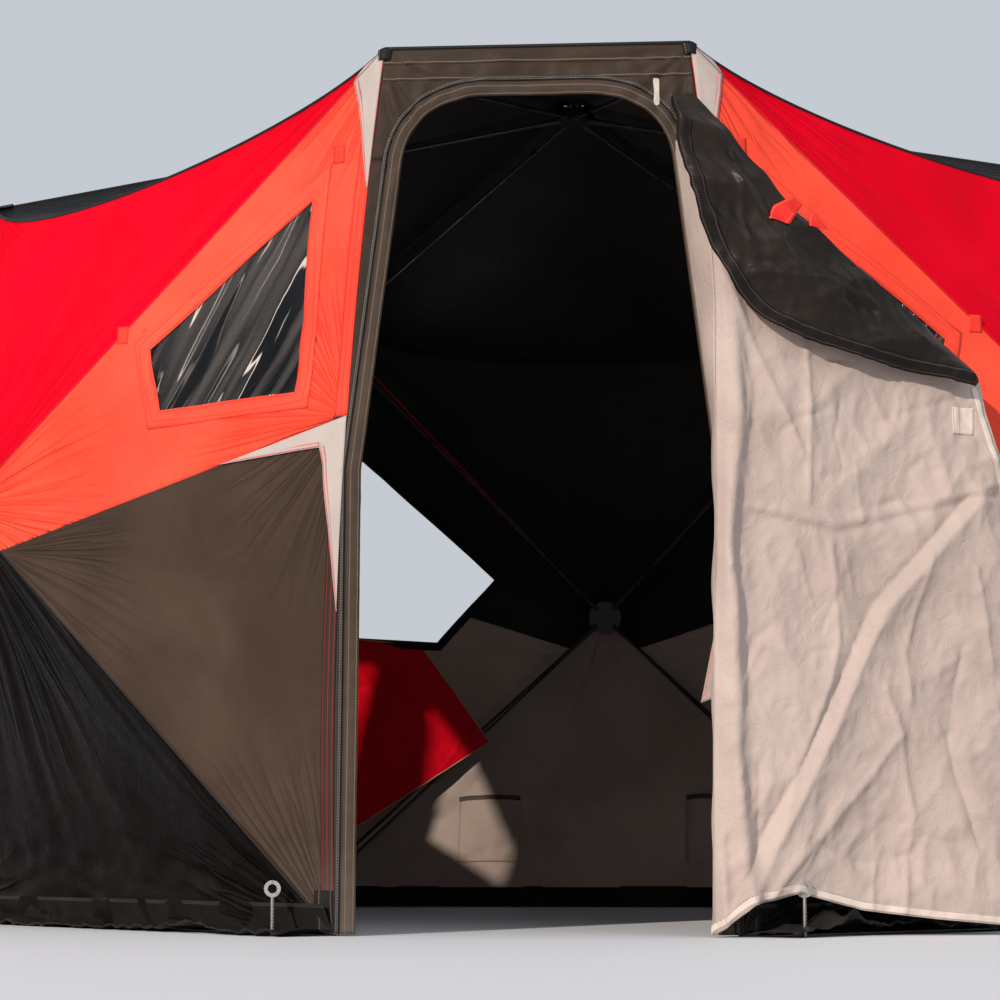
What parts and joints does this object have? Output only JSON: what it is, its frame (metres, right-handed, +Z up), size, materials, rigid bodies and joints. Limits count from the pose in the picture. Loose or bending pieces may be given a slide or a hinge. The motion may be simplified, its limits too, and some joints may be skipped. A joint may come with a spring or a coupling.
{
  "type": "ice fishing shelter",
  "caption": "Pop-up hub-style fabric shelter for ice fishing: leaning cloth walls pushed out by crossed poles, an arched doorway with its flap open, and a ground skirt.",
  "frame": {"origin": "middle of the bounding box, on the ice", "axes": "+Z up, the doorway faces -Y, +X to the right as seen by someone who stands in front of the door"},
  "size_m": [3.764, 3.9254, 2.2676],
  "materials": {
    "crimson_cloth": "coated nylon, crimson",
    "orange_cloth": "coated nylon, orange-red",
    "olive_cloth": "coated nylon, olive-brown",
    "dark_cloth": "satin nylon, near black",
    "wedge_cloth": "reinforcing cloth, pale grey",
    "roof_cloth": "coated nylon, black",
    "lining_cloth": "lining cloth, beige-grey",
    "skirt_cloth": "tarpaulin, black",
    "window_film": "clear flexible film",
    "hub_plastic": "moulded plastic, black",
    "pole_rod": "glass fibre rod, dark",
    "anchor_steel": "zinc-plated steel",
    "pull_tag": "woven tape, pale"
  },
  "bodies": {
    "root": {"front_left_top_panel": "crimson_cloth", "front_left_side_panels": "orange_cloth", "front_left_lower_panels": "olive_cloth", "front_left_bottom_panel": "dark_cloth", "left_top_panel": "crimson_cloth", "left_side_panels": "orange_cloth", "left_lower_panels": "olive_cloth", "left_bottom_panel": "dark_cloth", "rear_top_panel": "crimson_cloth", "rear_side_panels": "orange_cloth", "rear_lower_panels": "olive_cloth", "rear_bottom_panel": "dark_cloth", "right_top_panel": "crimson_cloth", "right_side_panels": "orange_cloth", "right_lower_panels": "olive_cloth", "right_bottom_panel": "dark_cloth", "front_right_top_panel": "crimson_cloth", "front_right_side_panels": "orange_cloth", "front_right_lower_panels": "olive_cloth", "front_right_bottom_panel": "dark_cloth", "window_panes": "window_film", "corner_wedges": "wedge_cloth", "wall_hubs": "hub_plastic", "wall_poles": "pole_rod", "roof_panels": "roof_cloth", "roof_hub": "hub_plastic", "roof_poles": "pole_rod", "door_left_jamb": "olive_cloth", "door_right_jamb": "olive_cloth", "door_header": "olive_cloth", "door_flap_hinge": "lining_cloth", "door_flap": "lining_cloth", "door_flap_fold": "olive_cloth", "flap_strap": "orange_cloth", "zipper_pull": "pull_tag", "rear_window_cover": "orange_cloth", "storage_pockets": "lining_cloth", "ground_skirt": "skirt_cloth", "ice_anchors": "anchor_steel"}
  },
  "joints": []
}
